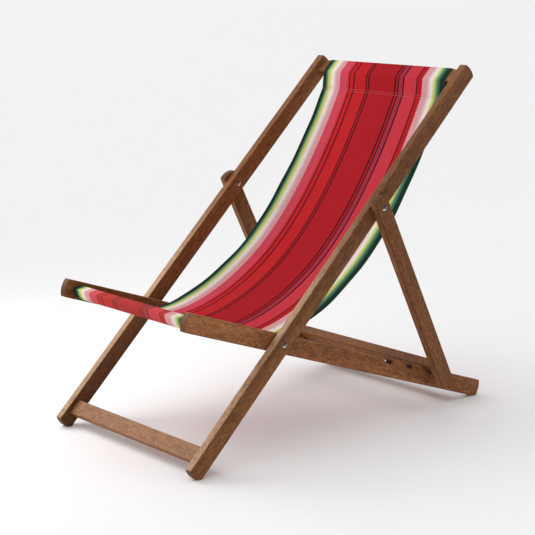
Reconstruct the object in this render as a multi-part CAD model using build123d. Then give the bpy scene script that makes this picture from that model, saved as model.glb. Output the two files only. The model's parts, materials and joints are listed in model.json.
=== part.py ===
from build123d import *
import os
from math import cos, radians, sin

# A folding deck chair. Units are millimetres, +Z is up, +X is the sitter's left and the chair
# faces -Y. Three timber frames turn on two pairs of bolts: the back frame stands on the ground
# at the front, the seat frame crosses it, and the prop frame holds the back frame up from the
# seat rails' notches. Side-view places are (along, across) in each frame's own plane.

# Timber sections
TIMBER = 21.5              # thickness of every rail and leg, across the chair
BACK_RAIL_WIDTH = 45.5
SEAT_RAIL_WIDTH = 47.5
PROP_LEG_WIDTH = 45.5
END_BULGE = 5.5            # height of the rounded arc on the end of a rail
END_CORNER = 3.5           # radius between a rail's end arc and its long edges
HEEL_RADIUS = 8.0          # worn lower corner of a back rail
EDGE_ROUND = 2.4           # eased long edges of the timber

# Places across the chair, from the centre line
SEAT_RAIL_INNER = 237.5
BACK_RAIL_INNER = 262.0
PROP_LEG_INNER = 285.0

# Side view: the two pivots and the three frames' slopes
SEAT_PIVOT_HEIGHT = 281.3
PIVOT_SPACING = 440.8      # from the seat pivot up the back rail to the prop pivot
BACK_SLOPE = 43.82         # degrees above level, rising to the back
SEAT_SLOPE = -19.26
PROP_SLOPE = -63.19

# Each member's ends, measured along it from its own pivot
BACK_RAIL_ENDS = (-388.3, 911.7)
SEAT_RAIL_ENDS = (-294.8, 796.6)
PROP_LEG_ENDS = (-24.7, 572.7)

# Cross members
SLAT_WIDTH = 42.0
SLAT_THICKNESS = 20.0
SLAT_EDGE = 2.5
TOP_BAR_PLACE = (886.7, -2.0)
BOTTOM_STRETCHER_PLACE = (-339.3, -2.0)
REAR_STRETCHER_PLACE = (710.0, -9.0)
PROP_BAR_SIZE = (20.0, 31.5)        # along the prop legs and across them
PROP_BAR_PLACE = (523.9, 4.0)
PROP_BAR_DROP = 3.0        # how much deeper the bar is between the seat rails
PROP_BAR_DROP_GAP = 8.0    # from the deeper part to each seat rail
FRONT_BAR_SIZE = (24.0, 27.0)
FRONT_BAR_TILT = 8.0
FRONT_BAR_CORNER = (-265.2, 95.2)  # its front upper edge, level and upright from the seat pivot
FRONT_BAR_LEAN = 12.0      # how far back its front face leans, so the cloth turns gently
TENON_LENGTH = 14.5
TENON_SHOULDER = 4.0       # how far each tenon is set in from the slat's faces
JOINT_PLAY = 0.05
CUT_OVERRUN = 4.0          # how far a cut runs out past the face it opens

# Recline notches in the seat rails, from the seat pivot
NOTCH_WALLS = (420.2, 504.2, 588.2)
NOTCH_FLOOR_HEIGHT = 10.8
NOTCH_FLOOR_LENGTH = 8.0
NOTCH_RAMP_LENGTH = 30.0
NOTCH_LEAD_IN = (20.0, 3.0)         # length and drop of the gentle start of the ramp
NOTCH_WALL_LEAN = 4.3      # how far the wall's top leans back
RELEASE_WALL = 15.5        # height of the rearmost notch's lowered wall
RELEASE_RAMP_LENGTH = 70.0

# Pivot bolts: a domed barrel nut inside and a domed screw outside
BARREL_RADIUS = 4.5
BARREL_END_WALL = 1.0      # solid end of the barrel nut, and its inset from the outer face
SCREW_RADIUS = 3.0
HEAD_RADIUS = 7.5
OUTER_DOME = 4.2
INNER_DOME = 2.4
SOCKET_SIZE = 4.0          # hexagon socket in the screw's head, across its flats
SOCKET_DEPTH = 2.2
HEAD_GAP = 0.2
RUNNING_CLEARANCE = 0.06
WASHER_RADIUS = 10.0
WASHER_GAP = 0.2
PIN_RADIUS = 2.2
PIN_LENGTH = 34.0
PIN_HEAD_RADIUS = 3.4
PIN_HEAD_TIP_RADIUS = 2.0
PIN_HEAD_HEIGHT = 1.0

# Sling: one strip of cloth with a sleeve at each end
SLING_WIDTH = 464.0
SLING_THICKNESS = 2.0
SLEEVE_GAP = 0.6
SLING_PROFILE = (          # level and upright from the seat pivot, from the seat bar to the top bar
    (-240.6, 99.9), (-154.4, 46.7), (-24.4, 5.7), (112.5, 27.1), (302.3, 130.4),
    (477.9, 323.8), (575.7, 484.0), (612.6, 556.7), (617.6, 603.0),
)


def frame_plane(level, upright, slope):
    """A frame's side-view plane: x runs along the member, y is its upper normal, z is across."""
    along = (0, cos(radians(slope)), sin(radians(slope)))
    return Plane(origin=(0, level, upright), x_dir=along, z_dir=(1, 0, 0))


BACK = frame_plane(0, SEAT_PIVOT_HEIGHT, BACK_SLOPE)
SEAT = frame_plane(0, SEAT_PIVOT_HEIGHT, SEAT_SLOPE)
PROP_PIVOT = BACK.from_local_coords(Vector(PIVOT_SPACING, 0, 0))
PROP = frame_plane(PROP_PIVOT.Y, PROP_PIVOT.Z, PROP_SLOPE)
UPRIGHT = frame_plane(0, SEAT_PIVOT_HEIGHT, 0)


def across(sketch, plane, inner, outer):
    """A side-view sketch extruded from inner to outer across the chair."""
    return extrude(plane.offset(inner) * sketch, outer - inner)


def mirrored(part):
    return mirror(part, about=Plane.YZ)


def rod(plane, along, height, inner, outer, radius):
    return across(Pos(along, height) * Circle(radius), plane, inner, outer)


def rail_outline(ends, width, heel=END_CORNER):
    """A long board with arched ends and rounded corners."""
    low, high = ends
    half = width / 2
    outline = make_face([
        Line((low, -half), (high, -half)),
        ThreePointArc((high, -half), (high + END_BULGE, 0), (high, half)),
        Line((high, half), (low, half)),
        ThreePointArc((low, half), (low - END_BULGE, 0), (low, -half)),
    ])
    heel_corner = outline.vertices().sort_by_distance((low, -half))[0]
    others = [v for v in outline.vertices() if v != heel_corner]
    outline = fillet(others, END_CORNER)
    return fillet(outline.vertices().sort_by_distance((low, -half))[0], heel)


def rail(plane, ends, width, inner, heel=END_CORNER):
    """The left-hand board, with all its long edges eased, trimmed level where it meets the ground."""
    board = across(rail_outline(ends, width, heel), plane, inner, inner + TIMBER)
    rims = board.faces().sort_by(Axis.X)
    board = fillet(rims[0].edges() + rims[-1].edges(), EDGE_ROUND)
    return split(board, bisect_by=Plane.XY, keep=Keep.TOP)


def slat(section, plane, half_span):
    """A cross member of the given section between two rails, with a tenon on each end."""
    body = across(section, plane, -half_span, half_span)
    long_edges = body.edges().filter_by(Axis.X)
    body = fillet(long_edges, SLAT_EDGE)
    tenon = offset(section, -TENON_SHOULDER)
    reach = half_span + TENON_LENGTH
    return body + across(tenon, plane, -reach, reach)


def mortise(section, plane, half_span):
    """The blind pocket that the slat's left-hand tenon fills."""
    pocket = offset(section, -TENON_SHOULDER + JOINT_PLAY)
    return across(pocket, plane, half_span, half_span + TENON_LENGTH + 2 * JOINT_PLAY)


def slat_section(place, depth=SLAT_WIDTH, thickness=SLAT_THICKNESS):
    return Pos(*place) * Rectangle(depth, thickness)


def prop_bar_between_legs(section):
    """The bar that drops into the notches: deeper between the seat rails, which locates it sideways."""
    length, width = PROP_BAR_SIZE
    deeper = Pos(PROP_BAR_DROP / 2, 0) * slat_section(PROP_BAR_PLACE, length + PROP_BAR_DROP, width)
    half = SEAT_RAIL_INNER - PROP_BAR_DROP_GAP
    middle = across(deeper, PROP, -half, half)
    middle = fillet(middle.edges().filter_by(Axis.X), SLAT_EDGE)
    return slat(section, PROP, PROP_LEG_INNER) + middle


def front_bar_section():
    """The seat's front bar: a near-square bar whose front face leans back."""
    depth, height = FRONT_BAR_SIZE
    outline = make_face(Polyline(
        (0, 0), (depth, 0), (depth, -height), (FRONT_BAR_LEAN, -height), close=True))
    return Pos(*FRONT_BAR_CORNER) * Rot(0, 0, FRONT_BAR_TILT) * outline


def notch_outline(wall, release):
    """One recline notch: a gentle lead-in, a ramp down, a flat floor and a wall that leans back."""
    top = SEAT_RAIL_WIDTH / 2
    above = top + CUT_OVERRUN
    floor_start = wall - NOTCH_FLOOR_LENGTH
    ramp_start = floor_start - NOTCH_RAMP_LENGTH
    lead_length, lead_drop = NOTCH_LEAD_IN
    points = [
        (ramp_start - lead_length, above),
        (ramp_start - lead_length, top),
        (ramp_start, top - lead_drop),
        (floor_start, NOTCH_FLOOR_HEIGHT),
        (wall, NOTCH_FLOOR_HEIGHT),
    ]
    if release:
        ramp_end = wall + RELEASE_RAMP_LENGTH
        points += [(wall, RELEASE_WALL), (ramp_end, top), (ramp_end, above)]
    else:
        points += [(wall + NOTCH_WALL_LEAN, top), (wall + NOTCH_WALL_LEAN, above)]
    return make_face(Polyline(*points, close=True))


def pivot_hole(plane, along, inner, outer):
    return rod(plane, along, 0, inner, outer, BARREL_RADIUS + RUNNING_CLEARANCE)


def dome(plane, along, face, height):
    """A domed bolt head on a face: outwards for a positive height, inwards for a negative one."""
    step = 1 if height > 0 else -1
    cap_radius = (HEAD_RADIUS ** 2 + height ** 2) / (2 * abs(height))
    centre = face + height - step * cap_radius
    ball = plane.offset(centre) * Pos(along, 0) * Sphere(cap_radius)
    low, high = sorted((face, face + height))
    return ball & rod(plane, along, 0, low, high, HEAD_RADIUS)


def pivot_screw(plane, along, inner, outer):
    """Domed screw head with a hexagon socket on the outer face, and its shank in the barrel nut."""
    face = outer + HEAD_GAP
    tip = face + OUTER_DOME
    shank = rod(plane, along, 0, inner + TIMBER / 2, face, SCREW_RADIUS)
    hexagon = Pos(along, 0) * RegularPolygon(SOCKET_SIZE / 2, 6, major_radius=False)
    socket = across(hexagon, plane, tip - SOCKET_DEPTH, tip)
    return dome(plane, along, face, OUTER_DOME) + shank - socket


def pivot_nut(plane, along, inner, outer):
    """Low domed head on the inner face, with the barrel that the timbers turn on."""
    face = inner - HEAD_GAP
    barrel = rod(plane, along, 0, face, outer - BARREL_END_WALL, BARREL_RADIUS)
    bore = rod(plane, along, 0, face + BARREL_END_WALL, outer, SCREW_RADIUS + JOINT_PLAY)
    return dome(plane, along, face, -INNER_DOME) + (barrel - bore)


def washer(plane, along, inner, outer):
    """A spacer washer round the barrel, between two neighbouring timbers."""
    ring = Circle(WASHER_RADIUS) - Circle(BARREL_RADIUS + RUNNING_CLEARANCE)
    return across(Pos(along, 0) * ring, plane, inner, outer)


def joint_pin(plane, along, lateral, edge, side):
    """A steel pin driven through the tenon, square into a rail's narrow edge on the given side."""
    foot = plane.offset(lateral) * Pos(along, edge) * Rot(90 * side, 0, 0)
    shank = foot * Cylinder(PIN_RADIUS, PIN_LENGTH, align=(Align.CENTER, Align.CENTER, Align.MIN))
    head = foot * Pos(0, 0, -PIN_HEAD_HEIGHT) * Cone(
        PIN_HEAD_TIP_RADIUS, PIN_HEAD_RADIUS, PIN_HEAD_HEIGHT,
        align=(Align.CENTER, Align.CENTER, Align.MIN))
    return shank + head


def pin_hole(plane, along, lateral, edge, side):
    foot = plane.offset(lateral) * Pos(along, edge) * Rot(90 * side, 0, 0)
    return foot * Cylinder(PIN_RADIUS + JOINT_PLAY, 2 * PIN_LENGTH + 2 * JOINT_PLAY)


def sling():
    """The cloth strip: its hanging sheet, and a sleeve round the top bar and the seat's front bar."""
    half = SLING_WIDTH / 2
    centreline = UPRIGHT.offset(-half) * Spline(*SLING_PROFILE)
    surface = Face.extrude(centreline.edge(), (SLING_WIDTH, 0, 0))
    sheet = thicken(surface, SLING_THICKNESS / 2, both=True)

    def sleeve(section, plane):
        inside = offset(section, SLEEVE_GAP)
        outside = offset(section, SLEEVE_GAP + SLING_THICKNESS)
        return across(outside, plane, -half, half) - across(inside, plane, -half, half)

    return sheet + sleeve(slat_section(TOP_BAR_PLACE), BACK) + sleeve(front_bar_section(), UPRIGHT)


def build():
    """Every node of the chair by name, in the frame whose origin lies below the seat pivot."""
    nodes = {}
    top_bar = slat_section(TOP_BAR_PLACE)
    bottom_stretcher = slat_section(BOTTOM_STRETCHER_PLACE)
    rear_stretcher = slat_section(REAR_STRETCHER_PLACE)
    front_bar = front_bar_section()
    prop_bar = slat_section(PROP_BAR_PLACE, *PROP_BAR_SIZE)

    seat_outer = SEAT_RAIL_INNER + TIMBER
    back_outer = BACK_RAIL_INNER + TIMBER
    prop_outer = PROP_LEG_INNER + TIMBER
    pin_inset = TENON_LENGTH / 2
    back_edge, seat_edge, prop_edge = -BACK_RAIL_WIDTH / 2, -SEAT_RAIL_WIDTH / 2, -PROP_LEG_WIDTH / 2

    back_rail = rail(BACK, BACK_RAIL_ENDS, BACK_RAIL_WIDTH, BACK_RAIL_INNER, HEEL_RADIUS)
    for section in (top_bar, bottom_stretcher):
        back_rail -= mortise(section, BACK, BACK_RAIL_INNER)
    for along in (0, PIVOT_SPACING):
        back_rail -= pivot_hole(BACK, along, BACK_RAIL_INNER, back_outer)

    seat_rail = rail(SEAT, SEAT_RAIL_ENDS, SEAT_RAIL_WIDTH, SEAT_RAIL_INNER)
    for wall in NOTCH_WALLS:
        outline = notch_outline(wall, release=wall == NOTCH_WALLS[-1])
        seat_rail -= across(outline, SEAT, SEAT_RAIL_INNER, seat_outer)
    seat_rail -= mortise(front_bar, UPRIGHT, SEAT_RAIL_INNER)
    seat_rail -= mortise(rear_stretcher, SEAT, SEAT_RAIL_INNER)
    seat_rail -= pivot_hole(SEAT, 0, SEAT_RAIL_INNER, seat_outer)

    prop_leg = rail(PROP, PROP_LEG_ENDS, PROP_LEG_WIDTH, PROP_LEG_INNER)
    prop_leg -= mortise(prop_bar, PROP, PROP_LEG_INNER)
    prop_leg -= pivot_hole(PROP, 0, PROP_LEG_INNER, prop_outer)

    slats = {
        "top_bar": slat(top_bar, BACK, BACK_RAIL_INNER),
        "bottom_stretcher": slat(bottom_stretcher, BACK, BACK_RAIL_INNER),
        "seat_front_bar": slat(front_bar, UPRIGHT, SEAT_RAIL_INNER),
        "seat_rear_stretcher": slat(rear_stretcher, SEAT, SEAT_RAIL_INNER),
        "prop_bar": prop_bar_between_legs(prop_bar),
    }

    front_bar_along = SEAT.to_local_coords(UPRIGHT.from_local_coords(front_bar.center())).X
    pins = {
        "back_frame_pins": [
            (BACK, TOP_BAR_PLACE[0], BACK_RAIL_INNER + pin_inset, back_edge, "top_bar"),
            (BACK, BOTTOM_STRETCHER_PLACE[0], BACK_RAIL_INNER + pin_inset, back_edge, "bottom_stretcher"),
        ],
        "seat_frame_pins": [
            (SEAT, front_bar_along, SEAT_RAIL_INNER + pin_inset, seat_edge, "seat_front_bar"),
            (SEAT, REAR_STRETCHER_PLACE[0], SEAT_RAIL_INNER + pin_inset, seat_edge, "seat_rear_stretcher"),
        ],
        "prop_bar_pins": [
            (PROP, PROP_BAR_PLACE[0], PROP_LEG_INNER + pin_inset, prop_edge, "prop_bar"),
        ],
    }
    rails = {"back_frame_pins": back_rail, "seat_frame_pins": seat_rail, "prop_bar_pins": prop_leg}
    for name, places in pins.items():
        group = []
        for plane, along, lateral, edge, slat_name in places:
            hole = pin_hole(plane, along, lateral, edge, -1)
            rails[name] -= hole
            slats[slat_name] = slats[slat_name] - hole - mirrored(hole)
            pin = joint_pin(plane, along, lateral, edge, -1)
            group += [pin, mirrored(pin)]
        nodes[name] = Compound(group)

    left = {
        "back_rail": rails["back_frame_pins"],
        "seat_rail": rails["seat_frame_pins"],
        "prop_leg": rails["prop_bar_pins"],
        "seat_pivot_screw": pivot_screw(BACK, 0, SEAT_RAIL_INNER, back_outer),
        "seat_pivot_nut": pivot_nut(BACK, 0, SEAT_RAIL_INNER, back_outer),
        "seat_pivot_washer": washer(BACK, 0, seat_outer + WASHER_GAP, BACK_RAIL_INNER),
        "prop_pivot_screw": pivot_screw(BACK, PIVOT_SPACING, BACK_RAIL_INNER, prop_outer),
        "prop_pivot_nut": pivot_nut(BACK, PIVOT_SPACING, BACK_RAIL_INNER, prop_outer),
        "prop_pivot_washer": washer(BACK, PIVOT_SPACING, back_outer, PROP_LEG_INNER - WASHER_GAP),
    }
    for name, part in left.items():
        nodes[name + "_left"] = part
        nodes[name + "_right"] = mirrored(part)
    nodes.update(slats)
    nodes["sling"] = sling()
    return nodes


def write_parts(nodes):
    """Centres the chair over the origin, front to back, and writes one STEP file per node."""
    box = Compound(list(nodes.values())).bounding_box()
    to_origin = Location((0, -box.center().Y, 0))
    os.makedirs("parts", exist_ok=True)
    for name, part in nodes.items():
        part = part.moved(to_origin)
        part.label = name
        export_step(part, f"parts/{name}.step")
    pivots = [point + Vector(0, -box.center().Y, 0) for point in (BACK.origin, PROP.origin)]
    print("overall size", box.size, "seat pivot and prop pivot", pivots)


write_parts(build())
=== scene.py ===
import json
from itertools import product
from math import cos, pi, radians, sin

import bpy
import numpy as np
from mathutils import Matrix, Vector


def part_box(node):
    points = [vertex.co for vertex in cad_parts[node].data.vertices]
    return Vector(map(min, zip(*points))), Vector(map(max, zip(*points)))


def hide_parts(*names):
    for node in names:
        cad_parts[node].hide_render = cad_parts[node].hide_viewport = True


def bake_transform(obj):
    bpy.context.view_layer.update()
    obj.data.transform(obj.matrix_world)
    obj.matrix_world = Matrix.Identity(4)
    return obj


# The looks of a folding deck chair: stained hardwood rails, plated bolts and a striped cotton sling.
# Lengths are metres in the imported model's frame: +X is the sitter's left and the chair faces -Y.

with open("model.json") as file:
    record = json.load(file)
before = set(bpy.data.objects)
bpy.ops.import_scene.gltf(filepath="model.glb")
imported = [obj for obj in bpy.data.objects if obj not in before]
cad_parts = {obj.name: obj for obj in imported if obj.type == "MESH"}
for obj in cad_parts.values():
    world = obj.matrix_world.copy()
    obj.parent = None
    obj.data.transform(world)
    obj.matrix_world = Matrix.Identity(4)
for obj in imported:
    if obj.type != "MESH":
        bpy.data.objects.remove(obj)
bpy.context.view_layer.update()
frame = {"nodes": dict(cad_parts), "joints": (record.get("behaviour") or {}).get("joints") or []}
joints = {joint["name"]: joint for joint in frame["joints"]}
SEAT_PIVOT = Vector(joints["seat_fold"]["pos_m"])
PROP_PIVOT = Vector(joints["prop_swing"]["pos_m"])

# Slopes above level, rising to the back, of the three frames and of the seat's front bar
BACK_SLOPE = (PROP_PIVOT - SEAT_PIVOT).yz.angle_signed(Vector((1, 0)))
SEAT_SLOPE = radians(-19.26)
PROP_SLOPE = radians(-63.19)
FRONT_BAR_TILT = radians(8.0)

MM = 0.001


# ---------------------------------------------------------------- camera, light and floor

CAMERA_PLACE = (2.8619, -2.5542, 1.2027)
CAMERA_YAW = radians(48.673)
CAMERA_PITCH = radians(11.848)
CAMERA_ROLL = radians(-0.136)
CAMERA_LENS = 99.04

BRIGHT_SIDE = (-0.72, -0.62, 0.34)   # the way towards the studio's bright side
BRIGHT_SPREAD = (-0.35, 0.75)        # cosines to it where the light starts and is full
BRIGHT_LEVELS = (0.52, 1.25)

KEY_PLACE = Vector((-1.1, -0.8, 1.1))
KEY_AIM = Vector((0, -0.4, 0.15))
KEY_SIZE = 0.9
KEY_POWER = 8

FLOOR_REACH = 60.0
FLOOR_COLOUR = (0.97, 0.97, 0.97, 1)


def make_camera():
    data = bpy.data.cameras.new("camera")
    data.sensor_width = 36
    data.lens = CAMERA_LENS
    camera = bpy.data.objects.new("camera", data)
    turn = (Matrix.Rotation(CAMERA_YAW, 4, "Z") @ Matrix.Rotation(pi / 2 - CAMERA_PITCH, 4, "X")
            @ Matrix.Rotation(CAMERA_ROLL, 4, "Z"))
    camera.matrix_world = Matrix.Translation(CAMERA_PLACE) @ turn
    bpy.context.scene.collection.objects.link(camera)
    bpy.context.scene.camera = camera


def make_surround():
    """A white surround, bright on one side and darker on the other, as by a wall of windows."""
    world = bpy.data.worlds.new("studio")
    world.use_nodes = True
    nodes, links = world.node_tree.nodes, world.node_tree.links
    toward = nodes.new("ShaderNodeVectorMath")
    toward.operation = "DOT_PRODUCT"
    toward.inputs[1].default_value = Vector(BRIGHT_SIDE).normalized()
    level = nodes.new("ShaderNodeMapRange")
    level.interpolation_type = "SMOOTHSTEP"
    for socket, value in zip(level.inputs[1:5], (*BRIGHT_SPREAD, *BRIGHT_LEVELS)):
        socket.default_value = value
    links.new(nodes.new("ShaderNodeTexCoord").outputs["Generated"], toward.inputs[0])
    links.new(toward.outputs["Value"], level.inputs[0])
    links.new(level.outputs[0], nodes["Background"].inputs["Strength"])
    nodes["Background"].inputs["Color"].default_value = (1, 1, 1, 1)
    bpy.context.scene.world = world
    bpy.context.scene.view_settings.view_transform = "Standard"


def make_key_light():
    """A weak square light, low on the bright side."""
    data = bpy.data.lights.new("key", "AREA")
    data.shape = "SQUARE"
    data.size = KEY_SIZE
    data.energy = KEY_POWER
    light = bpy.data.objects.new("key", data)
    light.location = KEY_PLACE
    light.rotation_euler = (KEY_AIM - KEY_PLACE).to_track_quat("-Z", "Y").to_euler()
    light.visible_camera = False
    bpy.context.scene.collection.objects.link(light)


def make_floor():
    mesh = bpy.data.meshes.new("floor")
    corners = [(x * FLOOR_REACH, y * FLOOR_REACH, 0) for x, y in ((-1, -1), (1, -1), (1, 1), (-1, 1))]
    mesh.from_pydata(corners, [], [(0, 1, 2, 3)])
    floor = bpy.data.objects.new("floor", mesh)
    bpy.context.scene.collection.objects.link(floor)
    paint = Shader("pale_floor")
    mesh.materials.append(paint.finish(Base_Color=FLOOR_COLOUR, Roughness=0.9, Specular_IOR_Level=0.1))


# ---------------------------------------------------------------- shader building blocks


def linear(red, green, blue):
    """An sRGB colour, 0 to 255, as the linear values that shaders take."""
    def one(level):
        level /= 255
        return level / 12.92 if level <= 0.04045 else ((level + 0.055) / 1.055) ** 2.4
    return (one(red), one(green), one(blue), 1.0)


def grey(level):
    return (level, level, level, 1)


class Shader:
    """A material's node tree, built by short calls that each return an output socket."""

    def __init__(self, name):
        self.material = bpy.data.materials.new(name)
        self.material.use_nodes = True
        self.tree = self.material.node_tree
        self.surface = self.tree.nodes["Principled BSDF"]

    def node(self, kind, **settings):
        made = self.tree.nodes.new("ShaderNode" + kind)
        for key, value in settings.items():
            setattr(made, key, value)
        return made

    def feed(self, socket, value):
        """Links a socket to a value that is an output, or sets it to a constant."""
        if isinstance(value, bpy.types.NodeSocket):
            self.tree.links.new(value, socket)
        else:
            socket.default_value = value

    def feed_all(self, sockets, values):
        for socket, value in zip(sockets, values):
            self.feed(socket, value)

    def math(self, operation, *values):
        made = self.node("Math", operation=operation)
        self.feed_all(made.inputs, values)
        return made.outputs[0]

    def product(self, *values):
        made = values[0]
        for value in values[1:]:
            made = self.math("MULTIPLY", made, value)
        return made

    def vector(self, operation, *values):
        made = self.node("VectorMath", operation=operation)
        self.feed_all(made.inputs, values)
        return made.outputs["Value" if operation == "DOT_PRODUCT" else "Vector"]

    def combine(self, values):
        made = self.node("CombineXYZ")
        self.feed_all(made.inputs, values)
        return made.outputs[0]

    def split(self, vector):
        made = self.node("SeparateXYZ")
        self.feed(made.inputs[0], vector)
        return list(made.outputs)

    def noise(self, place, stretch=None, scale=1.0, detail=2.0, roughness=0.5, distortion=0.0):
        """Noise from 0 to 1 at a place, which is first multiplied by stretch along each axis."""
        made = self.node("TexNoise")
        if stretch:
            place = self.vector("MULTIPLY", place, stretch)
        self.feed(made.inputs["Vector"], place)
        made.inputs["Scale"].default_value = scale
        made.inputs["Detail"].default_value = detail
        made.inputs["Roughness"].default_value = roughness
        made.inputs["Distortion"].default_value = distortion
        return made.outputs["Fac"]

    def between(self, value, low, high, to_low=0.0, to_high=1.0, smooth=False):
        """value rescaled from low..high to to_low..to_high, and held at the ends."""
        made = self.node("MapRange", interpolation_type="SMOOTHSTEP" if smooth else "LINEAR")
        self.feed_all(made.inputs, (value, low, high, to_low, to_high))
        return made.outputs[0]

    def mix(self, factor, first, second, blend="MIX"):
        made = self.node("Mix", data_type="RGBA", blend_type=blend, clamp_factor=True)
        self.feed(made.inputs["Factor"], factor)
        self.feed_all([socket for socket in made.inputs if socket.type == "RGBA"], (first, second))
        return [socket for socket in made.outputs if socket.type == "RGBA"][0]

    def ramp(self, value, stops):
        """A colour ramp through (place, colour) stops."""
        made = self.node("ValToRGB")
        band = made.color_ramp
        while len(band.elements) < len(stops):
            band.elements.new(1.0)
        for element, (place, colour) in zip(band.elements, stops):
            element.position = place
            element.color = colour
        self.feed(made.inputs["Fac"], value)
        return made.outputs["Color"]

    def bump(self, height, distance, strength):
        made = self.node("Bump")
        made.inputs["Distance"].default_value = distance
        made.inputs["Strength"].default_value = strength
        self.feed(made.inputs["Height"], height)
        return made.outputs["Normal"]

    def finish(self, **inputs):
        """Feeds the surface shader and returns the material. An input's name has _ for each space."""
        for name, value in inputs.items():
            self.feed(self.surface.inputs[name.replace("_", " ")], value)
        return self.material


def dress(node, material):
    """Puts a material in every slot of a CAD node."""
    slots = frame["nodes"][node].data.materials
    if not slots:
        slots.append(material)
    for index in range(len(slots)):
        slots[index] = material


# ---------------------------------------------------------------- stained hardwood

WOOD_DARK = linear(108, 64, 36)
WOOD_MID = linear(150, 96, 58)
WOOD_LIGHT = linear(186, 127, 78)
WOOD_PORE = linear(66, 36, 20)
WOOD_END = linear(104, 70, 48)
WOOD_WORN_HIGHLIGHT = linear(200, 152, 104)
WOOD_EDGE_SHADE = linear(92, 48, 22)
WOOD_RECESS_SHADE = linear(38, 22, 13)
WOOD_BLEACHED_AND_SHEEN = linear(222, 184, 148)
BLEACH_AND_SHEEN_HEIGHTS = (0.63, 0.30)    # from no bleaching and painted sheen to the most, above the ground
FOOT_SHADE_HEIGHTS = (0.16, 0.34)      # from the foot's tone, which is painted shade, to the board's
RECESS_SHADE_DEPTHS = (0.002, 0.005)   # below the upper face, from no painted shade and pooled stain to the most
RECESS_SHADE_OFF_END = (0.02, 0.03)    # from a board's end, the same
EASED_EDGE = (0.0032, 0.0008)    # in from the faces, from none of the painted edge shade and wear to the most
END_PAINTED_SHADE = (0.012, -0.014)      # up the end of a board, from no painted shade to the darkest

ALONG, ACROSS, UPRIGHT = range(3)    # a member's own axes

# Each board's slope, whether it spans the chair, its tone above and near the ground, where it is painted
# shade, and its bleaching with a painted sheen
BOARDS = {
    "back_rail_left": (BACK_SLOPE, False, 0.62, 0.63, 0.46),
    "back_rail_right": (BACK_SLOPE, False, 0.70, 0.40, 0.48),
    "seat_rail_left": (SEAT_SLOPE, False, 1.0, 1.0, 0.0),
    "seat_rail_right": (SEAT_SLOPE, False, 0.78, 0.76, 0.2),
    "prop_leg_left": (PROP_SLOPE, False, 0.70, 0.68, 0.0),
    "prop_leg_right": (PROP_SLOPE, False, 0.70, 0.68, 0.0),
    "top_bar": (BACK_SLOPE, True, 0.80, 0.80, 0.0),
    "bottom_stretcher": (BACK_SLOPE, True, 0.62, 0.62, 0.16),
    "seat_front_bar": (FRONT_BAR_TILT, True, 0.78, 0.78, 0.0),
    "seat_rear_stretcher": (SEAT_SLOPE, True, 0.72, 0.72, 0.0),
    "prop_bar": (PROP_SLOPE, True, 0.82, 0.82, 0.15),
}
BOARD_SHIFT = 1.7                # from one board's grain to the next one's


def member_axes(slope, across_chair):
    """A member's own axes in the chair's: along its grain, across it, and upright."""
    along = Vector((0, cos(slope), sin(slope)))
    upright = Vector((0, -sin(slope), cos(slope)))
    side = Vector((1, 0, 0))
    return (side, along, upright) if across_chair else (along, side, upright)


def member_size(node, axes):
    """A CAD node's centre and half sizes along the axes."""
    turn = np.array([tuple(axis) for axis in axes])
    points = np.array([v.co for v in frame["nodes"][node].data.vertices]) @ turn.T
    low, high = points.min(0), points.max(0)
    return (low + high) / 2, (high - low) / 2


class Board(Shader):
    """A shader that measures one member along its own axes from its centre."""

    def __init__(self, node, slope, across_chair, shift):
        super().__init__(node + "_timber")
        self.axes = member_axes(slope, across_chair)
        centre, self.half = member_size(node, self.axes)
        texture = self.node("TexCoord")
        self.place = texture.outputs["Object"]
        self.normal = texture.outputs["Normal"]
        reaches = [self.vector("DOT_PRODUCT", self.place, tuple(axis)) for axis in self.axes]
        self.own = [self.math("SUBTRACT", reach, float(middle)) for reach, middle in zip(reaches, centre)]
        self.shifted = self.vector("ADD", self.combine(self.own), (shift, shift * 0.37, shift * 0.61))

    def grain(self, along, across, **settings):
        """Noise with this many features a metre along the grain and across it."""
        return self.noise(self.shifted, (along, across, across), **settings)

    def facing(self, axis):
        """The cosine between the surface's normal and one of the member's axes."""
        return self.vector("DOT_PRODUCT", self.normal, tuple(self.axes[axis]))

    def inset(self, axis):
        """How far in from the member's outer faces, along one axis."""
        return self.math("SUBTRACT", float(self.half[axis]), self.math("ABSOLUTE", self.own[axis]))


def darken_ends(wood, colour, end):
    """End grain drinks more stain, and painted shade darkens it towards its lower edge."""
    speckle = wood.grain(300, 1500)
    end_colour = wood.mix(wood.between(speckle, 0.35, 0.7), WOOD_END, WOOD_DARK)
    # painted shade, darkest towards the end's lower edge
    end_colour = wood.mix(wood.between(wood.own[UPRIGHT], *END_PAINTED_SHADE, 0, 0.6), end_colour, WOOD_PORE)
    return wood.mix(wood.product(end, 0.8), colour, end_colour)


def shade_recesses(wood, colour, end, upward):
    """Painted shade, with pooled stain, darkens the sawn recesses, which face up or along, below the upper
    face and off the ends.
    """
    below_top = wood.math("SUBTRACT", float(wood.half[UPRIGHT]), wood.own[UPRIGHT])
    # painted shade, with pooled stain, in the notches
    recess_shade = wood.product(wood.math("MAXIMUM", end, upward), wood.between(below_top, *RECESS_SHADE_DEPTHS),
                          wood.between(wood.inset(ALONG), *RECESS_SHADE_OFF_END, 0, 0.85))
    return wood.mix(recess_shade, colour, WOOD_RECESS_SHADE)


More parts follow.
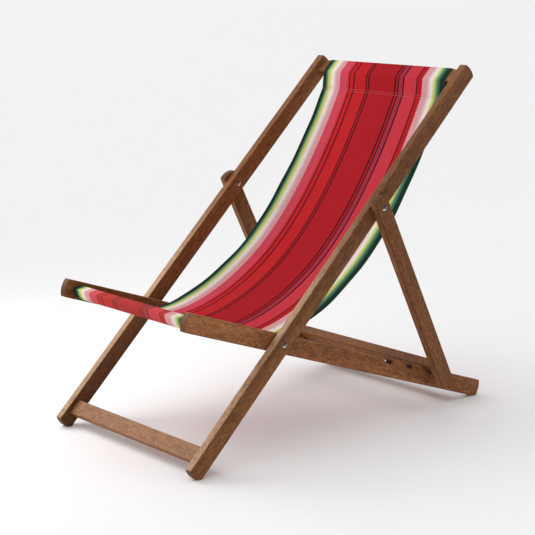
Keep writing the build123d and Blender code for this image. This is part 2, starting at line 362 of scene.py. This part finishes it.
def shade_and_wear_edges(wood, colour):
    """Painted shade darkens the eased edges, the lower ones most, and the upper ones are paled in patches
    by wear and a painted highlight.
    """
    edge = wood.between(wood.math("MAXIMUM", wood.inset(ACROSS), wood.inset(UPRIGHT)), *EASED_EDGE)
    upper = wood.between(wood.own[UPRIGHT], -0.002, 0.002)
    patches = wood.between(wood.grain(18, 60, detail=4.0), 0.42, 0.66)
    # wear and a painted highlight on the upper edges, in patches
    worn_highlight = wood.product(edge, upper, wood.product(patches, 0.4))
    # painted shade along the eased edges, strongest on the lower ones
    edge_shade = wood.product(edge, wood.between(upper, 0.0, 1.0, 0.6, 0.15))
    colour = wood.mix(edge_shade, colour, WOOD_EDGE_SHADE)
    return wood.mix(worn_highlight, colour, WOOD_WORN_HIGHLIGHT), worn_highlight


def tone_shade_and_bleach(wood, colour, upward, streaks, tone, shaded_foot_tone, bleach_and_sheen):
    """Gives the board its tone, darkened near the ground by painted shade, and pales its upper face, the
    most near the ground, by bleaching and a painted sheen.
    """
    height = wood.split(wood.place)[2]
    # painted shade: the foot's tone darkens the board near the ground
    tone_and_foot_shade = wood.mix(wood.between(height, *FOOT_SHADE_HEIGHTS), grey(shaded_foot_tone), grey(tone))
    colour = wood.mix(1.0, colour, tone_and_foot_shade, blend="MULTIPLY")
    # painted sheen, with bleaching: upward faces are paled, the most near the ground
    bleached_and_sheen = wood.product(upward, wood.between(height, *BLEACH_AND_SHEEN_HEIGHTS, smooth=True),
                            wood.between(streaks, 0.38, 0.56, 0.45 * bleach_and_sheen, 1.15 * bleach_and_sheen))
    return wood.mix(bleached_and_sheen, colour, WOOD_BLEACHED_AND_SHEEN)


def timber(node, slope, across_chair, tone, shaded_foot_tone, bleach_and_sheen, shift):
    """Oiled hardwood whose grain runs along one member.

    tone and the foot's tone lighten or darken the board above and near the ground, the foot's tone being
    painted shade; the bleach amount pales its upper face by bleaching and a painted sheen; and shift moves
    its grain.
    """
    wood = Board(node, slope, across_chair, shift)
    drift = wood.grain(1.7, 14)
    mottle = wood.grain(48, 150, detail=4.0, roughness=0.6, distortion=0.7)
    flecks = wood.grain(120, 560, detail=3.0, roughness=0.65)
    fibres = wood.grain(12, 1400)
    pores = wood.between(wood.grain(150, 1900, detail=1.0), 0.60, 0.68)
    end = wood.between(wood.math("ABSOLUTE", wood.facing(ALONG)), 0.45, 0.85)
    upward = wood.between(wood.facing(UPRIGHT), 0.5, 0.9)

    shade = wood.math("MULTIPLY_ADD", mottle, 0.30, wood.product(drift, 0.28))
    shade = wood.math("MULTIPLY_ADD", flecks, 0.30, shade)
    shade = wood.math("MULTIPLY_ADD", fibres, 0.12, shade)
    colour = wood.ramp(shade, [(0.405, WOOD_DARK), (0.5, WOOD_MID), (0.595, WOOD_LIGHT)])
    colour = wood.mix(wood.product(pores, 0.6), colour, WOOD_PORE)
    colour = darken_ends(wood, colour, end)
    colour = shade_recesses(wood, colour, end, upward)
    colour, worn_highlight = shade_and_wear_edges(wood, colour)
    streaks = wood.math("MULTIPLY_ADD", flecks, 0.5, wood.product(mottle, 0.5))
    colour = tone_shade_and_bleach(wood, colour, upward, streaks, tone, shaded_foot_tone, bleach_and_sheen)

    relief = wood.math("MULTIPLY_ADD", fibres, 0.5, wood.product(flecks, 0.4))
    relief = wood.math("SUBTRACT", relief, pores)
    roughness = wood.math("MULTIPLY_ADD", mottle, 0.24, 0.32)
    roughness = wood.math("MULTIPLY_ADD", worn_highlight, 0.4, roughness)
    return wood.finish(Base_Color=colour, Roughness=roughness, Specular_IOR_Level=0.12,
                       Normal=wood.bump(relief, 0.00025, 0.5))


def finish_timber():
    for index, (node, look) in enumerate(BOARDS.items()):
        dress(node, timber(node, *look, shift=BOARD_SHIFT * index))


# ---------------------------------------------------------------- plated steel

ZINC_BRIGHT = linear(228, 228, 232)
ZINC_DULL = linear(176, 176, 178)
ZINC_TARNISH = linear(120, 112, 104)
ZINC_DARK_REFLECTION = linear(38, 36, 36)


def plated_steel(name, colour, smoothest, tarnish_blur, dark_reflection):
    """Zinc-plated steel with fine scratches, slight tarnish and a painted dark reflection.

    smoothest is its least roughness, tarnish_blur what full tarnish adds, and the last argument how dark
    the painted dark reflection is on the upper front of each head.
    """
    steel = Shader(name)
    texture = steel.node("TexCoord")
    place = texture.outputs["Object"]
    scratches = steel.noise(place, (900, 9000, 2600), detail=3.0)
    tarnish = steel.noise(place, scale=420, detail=4.0)
    tint = steel.mix(steel.between(tarnish, 0.4, 0.75, 0, 0.5), colour, ZINC_TARNISH)
    # painted dark reflection on the upper front of each head, where the normal faces up and forward
    away = steel.vector("DOT_PRODUCT", texture.outputs["Normal"], (0, 0.6, -0.8))
    reflection_free = steel.between(away, -0.30, 0.10, smooth=True)
    tint = steel.mix(steel.math("MULTIPLY_ADD", reflection_free, -dark_reflection, dark_reflection), tint, ZINC_DARK_REFLECTION)
    rough = steel.math("MULTIPLY_ADD", tarnish, tarnish_blur, smoothest)
    return steel.finish(Base_Color=tint, Metallic=1.0, Roughness=rough,
                        Normal=steel.bump(scratches, 0.00002, 0.4))


def finish_steel():
    bright = plated_steel("bright_zinc", ZINC_BRIGHT, 0.08, 0.14, 0.9)
    dull = plated_steel("dull_zinc", ZINC_DULL, 0.26, 0.25, 0.3)
    for node in frame["nodes"]:
        if "screw" in node or "nut" in node:
            dress(node, bright)
        elif "washer" in node or "pins" in node:
            dress(node, dull)


# ---------------------------------------------------------------- the sling's shape

SLING_WIDTH = 0.464
CLOTH_THICKNESS = 1.5 * MM
LAYER_GAP = 0.3 * MM
CLOTH_STEP = 4.0 * MM            # spacing of the cloth mesh along and across
BAR_CLEARANCE = CLOTH_THICKNESS / 2 + 0.4 * MM
TOP_TURN = 4 * MM                # roundness of the cloth's turns over the top bar
FRONT_TURN = 3 * MM              # the same over the seat's front bar
SEAM_FLAP = 9 * MM               # how far the turned-under end reaches past its stitches
EDGE_CURL = 6.5 * MM

# The hanging sheet in side view, level and upright from the seat pivot, from the top seam down to
# the back edge of the seat's front bar.
HANGING = (
    (0.6126, 0.5567), (0.5757, 0.4840), (0.4779, 0.3238), (0.3023, 0.1304), (0.1125, 0.0271),
    (-0.0244, 0.0057), (-0.1544, 0.0467), (-0.2300, 0.0945),
)
TOP_BAR_SIZE = (0.042, 0.020)    # along the back rails and through them
FRONT_BAR_CORNERS = ((-0.2414, 0.0985), (-0.2652, 0.0952))   # its upper edges, back and front
FRONT_SLEEVE = (                 # from below its nose, back under the bar
    (-0.2622, 0.0832), (-0.2568, 0.0738), (-0.2480, 0.0670), (-0.2350, 0.0620), (-0.2050, 0.0526),
    (-0.1700, 0.0432),
)
FRONT_SEAM_LEVEL = -0.132        # where the front sleeve's end is sewn to the sheet


def lengths_along(path):
    """The arc length at each point of a path."""
    return np.concatenate([[0], np.cumsum(np.linalg.norm(np.diff(path, axis=0), axis=1))])


def smooth_curve(points, step):
    """Places about a step apart on a natural cubic spline through the points."""
    points = np.array(points, float)
    at = lengths_along(points)
    gap = np.diff(at)
    count = len(points)
    system = np.eye(count)
    bends = np.zeros((count, 2))
    for i in range(1, count - 1):
        system[i, i - 1:i + 2] = gap[i - 1], 2 * (gap[i - 1] + gap[i]), gap[i]
        bends[i] = 6 * ((points[i + 1] - points[i]) / gap[i] - (points[i] - points[i - 1]) / gap[i - 1])
    bends = np.linalg.solve(system, bends)
    places = np.linspace(0, at[-1], max(2, round(at[-1] / step) + 1))
    span = np.clip(np.searchsorted(at, places, side="right") - 1, 0, count - 2)
    width = gap[span][:, None]
    after = (places - at[span])[:, None] / width
    before = 1 - after
    bow = (before ** 3 - before) * bends[span] + (after ** 3 - after) * bends[span + 1]
    return before * points[span] + after * points[span + 1] + width ** 2 / 6 * bow


def rounded_path(points, radius, step):
    """A path of straight runs with a smooth turn at each corner between them."""
    points = [Vector(p) for p in points]
    path = [points[0]]
    for before, corner, after in zip(points, points[1:], points[2:]):
        inward, outward = (corner - before).normalized(), (after - corner).normalized()
        turn = inward.angle_signed(outward)
        longest = 0.45 * min((corner - before).length, (after - corner).length)
        setback = min(radius * abs(np.tan(turn / 2)), longest)
        pieces = max(2, round(abs(turn) / radians(14)))
        start, end = corner - inward * setback, corner + outward * setback
        for i in range(pieces + 1):
            t = i / pieces
            path.append(start * (1 - t) ** 2 + corner * 2 * t * (1 - t) + end * t ** 2)
    path.append(points[-1])
    dense = [path[0]]
    for start, end in zip(path, path[1:]):
        pieces = max(1, round((end - start).length / step))
        dense += [start + (end - start) * (i / pieces) for i in range(1, pieces + 1)]
    return np.array([tuple(p) for p in dense])


def side_normals(path):
    """Unit normals of a side-view path, to the right of its direction."""
    run = np.gradient(path, axis=0)
    run /= np.linalg.norm(run, axis=1)[:, None]
    return np.stack([run[:, 1], -run[:, 0]], axis=1)


def top_bar_corners():
    """The cloth's corners round the top bar in side view: back low, back top, front top, front low."""
    low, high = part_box("top_bar")
    centre = ((low + high) / 2 - SEAT_PIVOT).yz
    along, upright = (axis.yz for axis in member_axes(BACK_SLOPE, across_chair=True)[1:])
    half_width, half_thickness = (size / 2 + BAR_CLEARANCE for size in TOP_BAR_SIZE)
    return [centre + along * a * half_width + upright * h * half_thickness
            for a, h in ((-1, -1), (1, -1), (1, 1), (-1, 1))]


def sling_path():
    """The strip in side view from its sewn end behind the top bar to its sewn end under the seat.

    Returns the path, its arc lengths, and those of the two seams on the hanging sheet and of the
    front bar.
    """
    hanging = smooth_curve(HANGING, CLOTH_STEP)
    behind = hanging - side_normals(hanging) * (CLOTH_THICKNESS + LAYER_GAP)
    flap_rows = round(SEAM_FLAP / CLOTH_STEP) + 2
    top_flap = behind[flap_rows:0:-1]
    round_top = rounded_path([top_flap[-1], *top_bar_corners(), hanging[0]], TOP_TURN, CLOTH_STEP)

    seam_row = int(np.argmin(abs(hanging[:, 0] - FRONT_SEAM_LEVEL)))
    under_flap = behind[seam_row + flap_rows // 2:seam_row - flap_rows:-1]
    back_corner, nose = (Vector(corner) for corner in FRONT_BAR_CORNERS)
    tilt = Vector((cos(FRONT_BAR_TILT), sin(FRONT_BAR_TILT)))
    lift = Vector((-sin(FRONT_BAR_TILT), cos(FRONT_BAR_TILT))) * BAR_CLEARANCE
    over_bar = rounded_path([hanging[-1], back_corner + lift, nose + lift - tilt * BAR_CLEARANCE * 0.7,
                             Vector(FRONT_SLEEVE[0])], FRONT_TURN, CLOTH_STEP)
    under = smooth_curve([*FRONT_SLEEVE, under_flap[0]], CLOTH_STEP)
    stretches = (top_flap, round_top, hanging, over_bar, under)
    path = np.concatenate([*(stretch[:-1] for stretch in stretches), under_flap])

    length = lengths_along(path)
    top_seam_row = len(top_flap) - 1 + len(round_top) - 1
    front_bar_row = top_seam_row + len(hanging) - 1
    return path, length, length[top_seam_row], length[top_seam_row + seam_row], length[front_bar_row]


def ease(value, low, high):
    """A smooth step from 0 at low to 1 at high."""
    t = np.clip((value - low) / (high - low), 0, 1)
    return t * t * (3 - 2 * t)


def cloth_offset(x, s, top_seam, front_seam):
    """How far the hanging cloth stands off its smooth shape, towards the sitter.

    The right-hand edge curls forward, both edges are slack, and faint folds run from the top seam.
    """
    below = (s - top_seam) / (front_seam - top_seam)
    clear = np.clip((s - top_seam) / 0.08, 0, 1) * np.clip((front_seam - s) / 0.08, 0, 1)
    curl = EDGE_CURL * ease(-x, 0.10, 0.23) * ease(below, 0, 0.22) * (1 - ease(below, 0.55, 0.85))
    edge = np.exp(-(SLING_WIDTH / 2 - abs(x)) / 0.022)
    side = np.sign(x)
    flutter = edge * (1.5 * np.sin(s * 17 + side * 1.3) + 0.8 * np.sin(s * 41 + side * 0.6)) * MM
    folds = 0.35 * MM * np.sin(x * 62 + 3 * np.sin(s * 4.1)) * np.exp(-abs(s - top_seam) / 0.12)
    slack = 0.5 * MM * np.sin(x * 19 + s * 6.3)
    return curl + (flutter + folds + slack) * clear


def build_sling():
    """The strip as one thick sheet, and its path, arc lengths and seams for what is sewn to it."""
    path, length, top_seam, front_seam, front_bar = sling_path()
    rows, columns = len(path), round(SLING_WIDTH / CLOTH_STEP) + 1
    across = np.linspace(-SLING_WIDTH / 2, SLING_WIDTH / 2, columns)
    normals = side_normals(path)
    x, s = np.meshgrid(across, length)
    off = cloth_offset(x, s, top_seam, front_seam)
    y = path[:, 0][:, None] + normals[:, 0][:, None] * off + SEAT_PIVOT.y
    z = path[:, 1][:, None] + normals[:, 1][:, None] * off + SEAT_PIVOT.z
    grid = np.arange(rows * columns).reshape(rows, columns)
    faces = np.stack([grid[:-1, :-1], grid[:-1, 1:], grid[1:, 1:], grid[1:, :-1]], axis=-1).reshape(-1, 4)
    mesh = bpy.data.meshes.new("striped_sling")
    mesh.from_pydata(np.stack([x, y, z], axis=-1).reshape(-1, 3).tolist(), [], faces.tolist())
    uv = mesh.uv_layers.new(name="cloth")
    flat = np.stack([x + SLING_WIDTH / 2, s], axis=-1).reshape(-1, 2)
    uv.data.foreach_set("uv", flat[faces.reshape(-1)].astype(np.float32).ravel())
    mesh.polygons.foreach_set("use_smooth", [True] * len(faces))
    cloth = bpy.data.objects.new("striped_sling", mesh)
    bpy.context.scene.collection.objects.link(cloth)
    mesh.materials.append(striped_cotton(float(front_bar)))
    mesh.materials.append(selvage())
    solid = cloth.modifiers.new("thickness", "SOLIDIFY")
    solid.thickness = CLOTH_THICKNESS
    solid.offset = 0
    solid.material_offset_rim = 1
    return cloth, (path, length, top_seam, front_seam)


# ---------------------------------------------------------------- the sling's cloth

# The warp, from the right-hand selvage to the left: width in mm, then the yarn's colour at the
# start and at the end of that band. Bands whose two colours differ shade from one to the other.
YARN = {
    "bottle": linear(28, 50, 38), "teal": linear(76, 128, 102), "leaf": linear(138, 172, 110),
    "lime": linear(206, 204, 108), "cream": linear(232, 226, 220), "blush": linear(219, 180, 180),
    "mauve": linear(210, 154, 158), "raspberry": linear(201, 69, 86), "scarlet": linear(200, 47, 49),
    "red": linear(185, 35, 40), "dark": linear(60, 17, 21), "crimson": linear(166, 28, 37),
    "purple": linear(158, 47, 65), "rose": linear(194, 55, 67), "signal": linear(177, 29, 34),
}
WARP = (
    (10, "bottle", "bottle"), (6, "bottle", "teal"), (4, "teal", "leaf"), (6, "leaf", "lime"),
    (3, "lime", "lime"), (9, "lime", "cream"), (3, "cream", "cream"), (9, "cream", "blush"),
    (6, "blush", "mauve"), (13, "mauve", "mauve"), (29.5, "raspberry", "raspberry"),
    (7.4, "scarlet", "scarlet"), (4.2, "dark", "dark"), (13.5, "red", "red"), (4.8, "dark", "dark"),
    (44.1, "red", "red"), (4.8, "dark", "dark"), (4.2, "red", "red"), (4.8, "dark", "dark"),
    (97.1, "crimson", "crimson"), (5, "dark", "dark"), (7.4, "crimson", "crimson"),
    (4.2, "dark", "dark"), (13.9, "purple", "purple"), (4.8, "dark", "dark"), (45.4, "rose", "rose"),
    (3.4, "dark", "dark"), (17.3, "signal", "signal"), (17, "mauve", "mauve"), (16, "mauve", "cream"),
    (3, "cream", "cream"), (6, "cream", "lime"), (3, "lime", "lime"), (4, "lime", "leaf"),
    (6, "leaf", "teal"), (11, "teal", "bottle"), (13, "bottle", "bottle"),
)
MAX_BANDS = 14                   # bands per colour ramp, which holds at most 32 stops
BAND_BLUR = 0.15                 # mm in from each end of a band where its colour is its own

WEAVE_PITCH = 1.25 * MM
WEFT_SPECK = linear(206, 176, 170)
STRIPE_WANDER = 0.6 * MM
SLEEVE_RUN = 12 * MM             # over which the cloth changes from the sheet to the front sleeve
SLEEVE_DRAW = 6 * MM             # how far the front sleeve draws the right-hand stripes inward
SLEEVE_DRAW_REACH = 0.16         # how far in from the right-hand selvage it does
FADED_RED_SHEEN = linear(255, 150, 130)
PALE_MARGINS = (0.03, 0.06)    # in from each selvage, from none of the fading and painted sheen to full
SELVAGE_DEEP, SELVAGE_BRIGHT = linear(32, 110, 80), linear(60, 172, 130)
THREAD_DEEP, THREAD_BRIGHT = linear(168, 84, 88), linear(214, 140, 140)


def warp_colour(cloth, u):
    """The stripes' colour from u, the distance from the right-hand selvage in metres."""
    total = sum(band[0] for band in WARP)
    edge, colour = 0.0, None
    for group in (WARP[i:i + MAX_BANDS] for i in range(0, len(WARP), MAX_BANDS)):
        width = sum(band[0] for band in group)
        stops, reached = [], 0.0
        for span, first, last in group:
            stops.append(((reached + BAND_BLUR) / width, YARN[first]))
            reached += span
            stops.append(((reached - BAND_BLUR) / width, YARN[last]))
        low = edge / total * SLING_WIDTH
        high = (edge + width) / total * SLING_WIDTH
        part = cloth.ramp(cloth.between(u, low, high), stops)
        colour = part if colour is None else cloth.mix(cloth.math("GREATER_THAN", u, low), colour, part)
        edge += width
    return colour


def striped_cotton(front_bar):
    """Yarn-dyed cotton canvas: warp stripes, a plain weave, slubs and specks of the pale weft.

    It is faded, and paled by a painted sheen, on the front sleeve from the front bar on, less near the
    selvages. front_bar is the bar's place along the strip.
    """
    cloth = Shader("striped_cotton")
    place = cloth.node("UVMap", uv_map="cloth").outputs["UV"]
    u, v, _ = cloth.split(place)
    on_sleeve = cloth.between(v, front_bar - SLEEVE_RUN / 2, front_bar + SLEEVE_RUN / 2)
    wander = cloth.math("SUBTRACT", cloth.noise(place, (30, 60, 1)), 0.5)
    drawn = cloth.between(u, 0, SLEEVE_DRAW_REACH, SLEEVE_DRAW, 0)
    stripe_u = cloth.math("ADD", u, cloth.product(wander, STRIPE_WANDER))
    stripe_u = cloth.math("SUBTRACT", stripe_u, cloth.product(on_sleeve, drawn))
    colour = warp_colour(cloth, stripe_u)

    waves = [cloth.math("SINE", cloth.product(at, 2 * pi / WEAVE_PITCH)) for at in (u, v)]
    weave = cloth.product(*waves)
    warp_slubs = cloth.noise(place, (900, 26, 1))
    weft_slubs = cloth.noise(place, (22, 800, 1))
    specks = cloth.between(cloth.noise(place, scale=520), 0.62, 0.78, 0, 0.08)
    mottle = cloth.noise(place, scale=7, detail=4.0)

    colour = cloth.mix(specks, colour, WEFT_SPECK)
    paled_area = cloth.product(cloth.between(u, *PALE_MARGINS),
                           cloth.between(cloth.math("SUBTRACT", SLING_WIDTH, u), *PALE_MARGINS))
    # fading and a painted sheen pale the front sleeve
    colour = cloth.mix(cloth.product(on_sleeve, paled_area, 0.10), colour, FADED_RED_SHEEN)
    level = cloth.math("MULTIPLY_ADD", warp_slubs, 0.26, 0.71)
    level = cloth.math("MULTIPLY_ADD", weft_slubs, 0.16, level)
    level = cloth.math("MULTIPLY_ADD", mottle, 0.12, level)
    level = cloth.math("SUBTRACT", level, cloth.between(weave, 0.2, -0.8, 0, 0.16))
    colour = cloth.mix(1.0, colour, cloth.combine((level, level, level)), blend="MULTIPLY")

    height = cloth.math("MULTIPLY_ADD", weave, 0.5, cloth.product(warp_slubs, 0.8))
    height = cloth.math("ADD", height, cloth.product(weft_slubs, 0.6))
    return cloth.finish(Base_Color=colour, Roughness=cloth.math("MULTIPLY_ADD", mottle, 0.1, 0.78),
                        Specular_IOR_Level=0.04, Normal=cloth.bump(height, 0.0002, 0.7))


def selvage():
    """The sling's cut edge, where the dyed yarn ends show bright green."""
    edge = Shader("selvage")
    place = edge.node("UVMap", uv_map="cloth").outputs["UV"]
    threads = edge.noise(place, (200, 900, 1))
    colour = edge.mix(edge.between(threads, 0.35, 0.7), SELVAGE_DEEP, SELVAGE_BRIGHT)
    return edge.finish(Base_Color=colour, Roughness=0.85, Normal=edge.bump(threads, 0.0002, 0.5))


def sewing_thread():
    """Polyester thread with a twisted lay."""
    thread = Shader("sewing_thread")
    place = thread.node("TexCoord").outputs["Object"]
    lay = thread.noise(place, (2600, 900, 900), detail=1.0)
    colour = thread.mix(thread.between(lay, 0.35, 0.7), THREAD_DEEP, THREAD_BRIGHT)
    return thread.finish(Base_Color=colour, Roughness=0.6, Normal=thread.bump(lay, 0.0001, 0.5))


# ---------------------------------------------------------------- the seams' stitches

STITCH_ROWS = (-3.2 * MM, 3.2 * MM)
STITCH_PITCH = 4.2 * MM
STITCH_LENGTH = 3.1 * MM
STITCH_MARGIN = 3 * MM           # from the first stitch to the selvage
THREAD_RADIUS = 0.42 * MM
THREAD_SIDES = 6
THREAD_RINGS = 5


def stitch_points(away):
    """One stitch's points across the chair, along the strip and off the cloth, arched away from it."""
    points = []
    for t in np.linspace(-1, 1, THREAD_RINGS):
        radius = THREAD_RADIUS * max(0.25, (1 - t ** 4)) ** 0.5
        rise = away * THREAD_RADIUS * (0.55 - 0.8 * t ** 2)
        for turn in (2 * pi * k / THREAD_SIDES for k in range(THREAD_SIDES)):
            points.append((t * STITCH_LENGTH / 2, radius * cos(turn), rise + radius * sin(turn)))
    return np.array(points)


def stitch_faces(base):
    """One stitch's faces: its skin and its two ends. base is the number of its first point."""
    rings = [[base + ring * THREAD_SIDES + k for k in range(THREAD_SIDES)] for ring in range(THREAD_RINGS)]
    skin = [(a[k], a[(k + 1) % THREAD_SIDES], b[(k + 1) % THREAD_SIDES], b[k])
            for a, b in zip(rings, rings[1:]) for k in range(THREAD_SIDES)]
    return [*skin, tuple(reversed(rings[0])), tuple(rings[-1])]


def build_stitches(shape):
    """Two rows of lockstitch at each seam, on both faces of the cloth, as one mesh of small threads."""
    path, length, top_seam, front_seam = shape
    normals = side_normals(path)
    count = int((SLING_WIDTH - 2 * STITCH_MARGIN) / STITCH_PITCH)
    # The stitches lie on the sheet's front and on the back of the layer that is sewn behind it.
    lies_on = {1: CLOTH_THICKNESS / 2, -1: -(CLOTH_THICKNESS * 1.5 + LAYER_GAP)}
    places = [seam + row for seam in (top_seam, front_seam) for row in STITCH_ROWS]
    points, faces = [], []
    for at, away in product(places, lies_on):
        place, normal = (np.array([np.interp(at, length, values[:, k]) for k in (0, 1)])
                         for values in (path, normals))
        normal /= np.linalg.norm(normal)
        along = np.array([normal[1], -normal[0]])
        thread = stitch_points(away)
        stagger = STITCH_PITCH / 2 if away < 0 else 0
        for i in range(count):
            x = -SLING_WIDTH / 2 + STITCH_MARGIN + STITCH_PITCH * (i + 0.5) + stagger
            off = lies_on[away] + cloth_offset(x, at, top_seam, front_seam)
            faces += stitch_faces(len(points))
            for across, run, height in thread:
                y, z = place + normal * (off + height) + along * run + SEAT_PIVOT.yz
                points.append((x + across, y, z))
    mesh = bpy.data.meshes.new("seam_stitches")
    mesh.from_pydata(points, [], faces)
    mesh.polygons.foreach_set("use_smooth", [True] * len(faces))
    stitches = bpy.data.objects.new("seam_stitches", mesh)
    bpy.context.scene.collection.objects.link(stitches)
    mesh.materials.append(sewing_thread())
    return stitches


def make_sling():
    cloth, shape = build_sling()
    stitches = build_stitches(shape)
    for piece in (cloth, stitches):
        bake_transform(piece)
    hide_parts("sling")


make_camera()
make_surround()
make_key_light()
make_floor()
finish_timber()
finish_steel()
make_sling()
